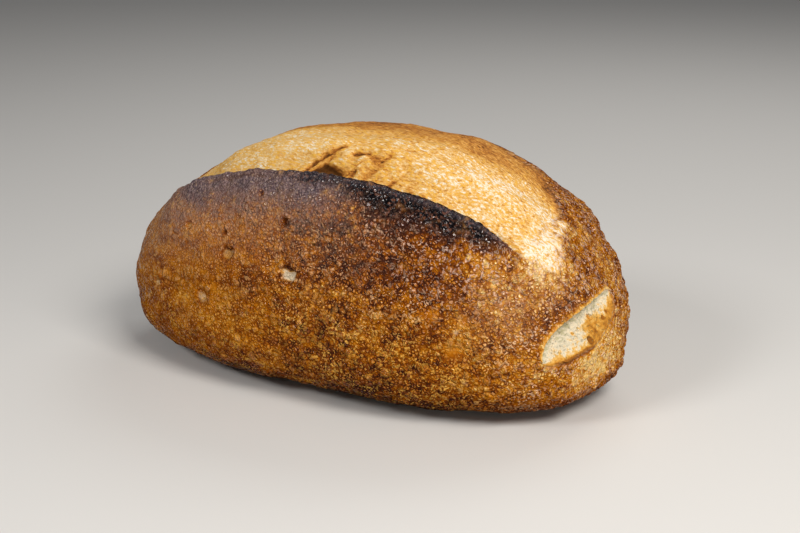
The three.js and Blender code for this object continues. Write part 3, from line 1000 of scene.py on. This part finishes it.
# ---- Finish: bubbled crust -------------------------------------------------------------------
# Crust that baked from amber to purple-brown. It is a ground of tiny glassy bubbles, with dark gaps
# between them that are partly painted shade, and paler tops and rims on the large blisters that are
# partly painted highlight, and it is smooth where it is glazed.
FINE_BUBBLES = 1.7
WIDE_BUBBLES = 3.8
fine_dome, _, fine_own = bubbles(FINE_BUBBLES)
wide_dome, wide_rim, wide_own = bubbles(WIDE_BUBBLES)
wide_there = ranged(wide_own, 0.55, 0.61)
dome = maths("MINIMUM", wide_dome, total(0.75, times(fine_dome, 0.25)))
dome = blended(wide_there, fine_dome, dome)
own = blended(wide_there, fine_own, ranged(wide_own, 0.7, 1.0))
bubbled = maths("SUBTRACT", 1.0, glaze_share)
# darker in the gaps between the bubbles than on their domes: partly the crust's own colour, partly
# painted shade in the crevices
gap_depth = ranged(noise(6, 2), 0.35, 0.65, 0.12, 0.46)
gap = total(times(maths("SUBTRACT", 0.85, dome), gap_depth), times(centred(own), 0.18))
blotch = times(centred(noise(2.4, 3, 0.65)), ranged(length_along, -50.0, 10.0, 0.7, 1.4))
drawn_blotch = times(centred(noise(5, 2, 0.5, drawn_out)), 0.6)
oven_brown = total(
    brown_share, times(total(gap, blotch), bubbled), drawn_blotch, times(blister_height, -0.06),
)
crust_colour = colour_ramp(oven_brown, (
    (0.0, (0.78, 0.50, 0.16)),
    (0.14, (0.67, 0.31, 0.045)),
    (0.3, (0.50, 0.180, 0.012)),
    (0.5, (0.34, 0.098, 0.003)),
    (0.68, (0.20, 0.048, 0.005)),
    (0.85, (0.10, 0.024, 0.006)),
    (1.0, (0.045, 0.013, 0.008)),
))

# pale marks on the crust, partly pale blister skin and partly painted highlight: rims of the widest
# bubbles, and short thin arcs and dots as painted glints; then the dusty film, which on the near end is
# painted sheen
PALE_FAR = (0.74, 0.41, 0.20)
PALE_NEAR = (0.86, 0.60, 0.48)
PALE_LOW = (0.82, 0.43, 0.08)
DUST = (0.44, 0.28, 0.19)
rim = times(wide_rim, wide_there, ranged(noise(1.7, 0), 0.45, 0.55))
contour = maths("ABSOLUTE", centred(noise(2.1, 0)))
arc = times(ranged(contour, 0.03, 0.06, 1.0, 0.0), ranged(noise(1.3, 0), 0.55, 0.59))
dot = times(ranged(fine_dome, 0.6, 0.95), ranged(fine_own, 0.86, 0.9))
dot = times(dot, ranged(length_along, -40.0, 40.0, 0.6, 0.9))
pale = maths("MAXIMUM", dot, maths("MAXIMUM", rim, arc))
pale = times(pale, ranged(noise(14, 2), 0.4, 0.6, 0.3, 0.8), bubbled)
pale = times(pale, ranged(height_up, 50.0, 75.0, 1.0, 0.75))
# the painted glints are golden low down, and pinker and whiter high up and towards the burst end, as a
# painted reflection of the light
pale_colour = mixed(ranged(length_along, 10.0, 90.0), PALE_FAR, PALE_NEAR)
above_low = ranged(length_along, 80.0, 125.0, 0.0, 0.75)
above_low = maths("MAXIMUM", ranged(height_up, 40.0, 78.0), above_low)
pale_colour = mixed(above_low, PALE_LOW, pale_colour)
crust_colour = mixed(pale, crust_colour, pale_colour)
dusty = times(dust_share, ranged(noise(1.5, 3), 0.38, 0.62, 0.1, 0.5))
crust_colour = mixed(dusty, crust_colour, DUST)


# ---- Finish: char, ash and sole --------------------------------------------------------------
# The raised ear burnt black with a few painted glints and, towards the far end, ash-grey with a few
# paler specks; a thin ash-grey line along the crest is painted rim highlight. The sole, which lay on
# the hot stone, is a dull even brown.
CHAR = (0.007, 0.006, 0.007)
CHAR_TOP = (0.16, 0.062, 0.036)
CHAR_SPECK = (0.22, 0.18, 0.18)
ASH_DARK = (0.060, 0.052, 0.072)
ASH_PALE = (0.20, 0.150, 0.160)
ASH_SPECK = (0.50, 0.36, 0.24)
SOLE = (0.13, 0.055, 0.022)
baked_tops = times(ranged(noise(1.5, 1), 0.5, 0.62), ranged(noise(6, 1), 0.35, 0.65, 0.2, 1.0))
char_colour = mixed(baked_tops, CHAR, CHAR_TOP)
# painted glints on the char
char_colour = mixed(times(ranged(noise(1.0, 1), 0.62, 0.68), 0.5), char_colour, CHAR_SPECK)
crust_colour = mixed(char_share, crust_colour, char_colour)
ash_colour = mixed(ranged(noise(1.2, 2), 0.4, 0.62), ASH_DARK, ASH_PALE)
ash_colour = mixed(times(ranged(noise(0.9, 1), 0.62, 0.68), 0.5), ash_colour, ASH_SPECK)
crust_colour = mixed(times(ash_share, 0.9), crust_colour, ash_colour)
crust_colour = mixed(times(sole_share, 0.7), crust_colour, SOLE)


# ---- Finish: bloom ---------------------------------------------------------------------------
# Dough that swelled up through the score late in the bake. Its skin is pale and matt, drawn out in
# fine fibres with orange flecks, and toasted where it stood highest, with painted shade in its creases
# and hollow.
BLOOM_FLECK = (0.84, 0.44, 0.055)
fibre = noise(1.2, 4, 0.65, drawn_out)
grain = node("TexVoronoi", Vector=drawn_out, Scale=1 / 0.8).outputs["Color"]
grain = node("SeparateColor", Color=grain).outputs["Red"]
fibre_reach = ranged(length_along, -50.0, 90.0, 0.6, 1.7)
toasting = total(
    brown_share,
    times(centred(fibre), ranged(brown_share, 0.35, 0.75, 1.3, 0.7), fibre_reach),
    times(centred(grain), 0.3),
    times(centred(noise(8, 2)), 0.3),
)
bloom_colour = colour_ramp(toasting, (
    (0.0, (0.92, 0.80, 0.65)),
    (0.08, (0.90, 0.74, 0.50)),
    (0.2, (0.86, 0.58, 0.24)),
    (0.42, (0.78, 0.41, 0.10)),
    (0.65, (0.58, 0.235, 0.035)),
    (0.85, (0.38, 0.130, 0.020)),
    (1.0, (0.14, 0.050, 0.008)),
))
fleck = ranged(noise(1.1, 1, 0.5, drawn_out), 0.53, 0.60)
fleck = times(fleck, ranged(brown_share, 0.4, 0.75, 0.8, 0.0))
bloom_colour = mixed(fleck, bloom_colour, BLOOM_FLECK)


# ---- Finish: crumb ---------------------------------------------------------------------------
# Soft crumb laid bare in the burst and in the widest pits. It is greyish cream with fine open pores,
# painted darker as their shade, grey-green where shade under the burst's upper lip is painted, and
# golden where it reached the crust.
CRUMB_PORE = (0.40, 0.33, 0.15)
crumb_tone = total(brown_share, centred(noise(1.8, 3, 0.6)))
# the lowest, grey-green stop is the colour of the painted shade under the upper lip
crumb_colour = colour_ramp(crumb_tone, (
    (0.0, (0.50, 0.45, 0.27)),
    (0.15, (0.71, 0.63, 0.46)),
    (0.3, (0.83, 0.71, 0.50)),
    (0.48, (0.80, 0.47, 0.12)),
    (0.7, (0.66, 0.29, 0.035)),
    (1.0, (0.34, 0.12, 0.012)),
))
# the pores are painted darker as their shade
pore = ranged(noise(1.3, 2), 0.6, 0.72)
crumb_colour = mixed(times(pore, 0.4), crumb_colour, CRUMB_PORE)


# ---- Finish: the three together ---------------------------------------------------------------
# Crust, bloom and crumb by their shares of each place, with their sheen and their finest relief.
# The bubble tops of the crust are glassy, and the bloom and the crumb are matt.
base_colour = mixed(bloom_share, crust_colour, bloom_colour)
base_colour = mixed(crumb_share, base_colour, crumb_colour)
wire(shader.inputs["Base Color"], base_colour)

MATT_SPECULAR = 0.15
matt = maths("MAXIMUM", bloom_share, crumb_share)
crust_roughness = total(0.12, times(noise(5), 0.18))
glassy = times(ranged(dome, 0.55, 0.95), ranged(own, 0.3, 0.7, 1.0, 0.4))
glassy = times(glassy, ranged(height_up, 0.0, 60.0, 0.15, 1.0))
crust_specular = times(glassy, total(0.75, times(char_share, 0.5)))
wire(shader.inputs["Roughness"], blended(matt, crust_roughness, ranged(fibre, 0.3, 0.7, 0.58, 0.78)))
wire(shader.inputs["Specular IOR Level"], blended(matt, crust_specular, MATT_SPECULAR))

dome_height = times(total(times(fine_dome, 0.7), times(wide_dome, wide_there, 1.2)), bubbled)
crust_height = total(dome_height, times(noise(0.7, 2), 0.2))
bloom_height = total(fibre, times(noise(0.8, 2, 0.6), 0.6), times(pore, crumb_share, -0.5))
bump = node("Bump", Height=blended(matt, crust_height, bloom_height), Distance=MM, Strength=1.0)
wire(shader.inputs["Normal"], bump.outputs["Normal"])
loaf.data.materials.clear()
loaf.data.materials.append(crust)


# ---- Floor and light -------------------------------------------------------------------------
# A plain pale table top that reaches past the view. The main soft light comes from above the burst
# end, with weaker ones from the front, low at the burst end and behind, and a dim even surround.
FLOOR_SIZE = 6.0
FLOOR_COLOUR = (0.70, 0.68, 0.65, 1)
FLOOR_ROUGHNESS = 0.8
half = FLOOR_SIZE / 2
floor_corners = [(-half, -half, 0), (half, -half, 0), (half, half, 0), (-half, half, 0)]
floor_mesh = bpy.data.meshes.new("floor")
floor_mesh.from_pydata(floor_corners, [], [(0, 1, 2, 3)])
floor = bpy.data.objects.new("floor", floor_mesh)
bpy.context.scene.collection.objects.link(floor)
floor_finish = bpy.data.materials.new("pale_floor")
floor_finish.use_nodes = True
floor_shader = floor_finish.node_tree.nodes["Principled BSDF"]
floor_shader.inputs["Base Color"].default_value = FLOOR_COLOUR
floor_shader.inputs["Roughness"].default_value = FLOOR_ROUGHNESS
floor.data.materials.append(floor_finish)


def softbox(name, direction, distance, size, power, tint):
    """An area light in that direction from the loaf, turned to face it."""
    light = bpy.data.objects.new(name, bpy.data.lights.new(name, "AREA"))
    light.data.shape = "RECTANGLE"
    light.data.size, light.data.size_y = size
    light.data.energy = power
    light.data.color = tint
    aim = Vector((0, 0, HEIGHT / 2 * MM))
    light.location = aim + Vector(direction).normalized() * distance
    light.rotation_euler = Vector(direction).to_track_quat("Z", "Y").to_euler()
    bpy.context.scene.collection.objects.link(light)


softbox("key", (0.66, -0.40, 0.70), 1.1, (0.5, 0.4), 9.5, (1.0, 0.97, 0.93))
softbox("front_fill", (-0.30, -0.80, 0.60), 1.4, (0.4, 0.3), 7, (0.98, 0.99, 1.0))
softbox("burst_fill", (0.95, -0.35, 0.10), 1.3, (0.5, 0.3), 3.0, (1.0, 0.98, 0.95))
softbox("back_top", (0.0, 0.7, 0.8), 1.2, (0.8, 0.5), 3.5, (1.0, 0.99, 0.97))

SURROUND_COLOUR = (0.86, 0.88, 0.92, 1)
SURROUND_STRENGTH = 0.12
surround = bpy.data.worlds.new("studio")
surround.use_nodes = True
surround.node_tree.nodes["Background"].inputs["Color"].default_value = SURROUND_COLOUR
surround.node_tree.nodes["Background"].inputs["Strength"].default_value = SURROUND_STRENGTH
bpy.context.scene.world = surround
bpy.context.scene.view_settings.view_transform = "Standard"
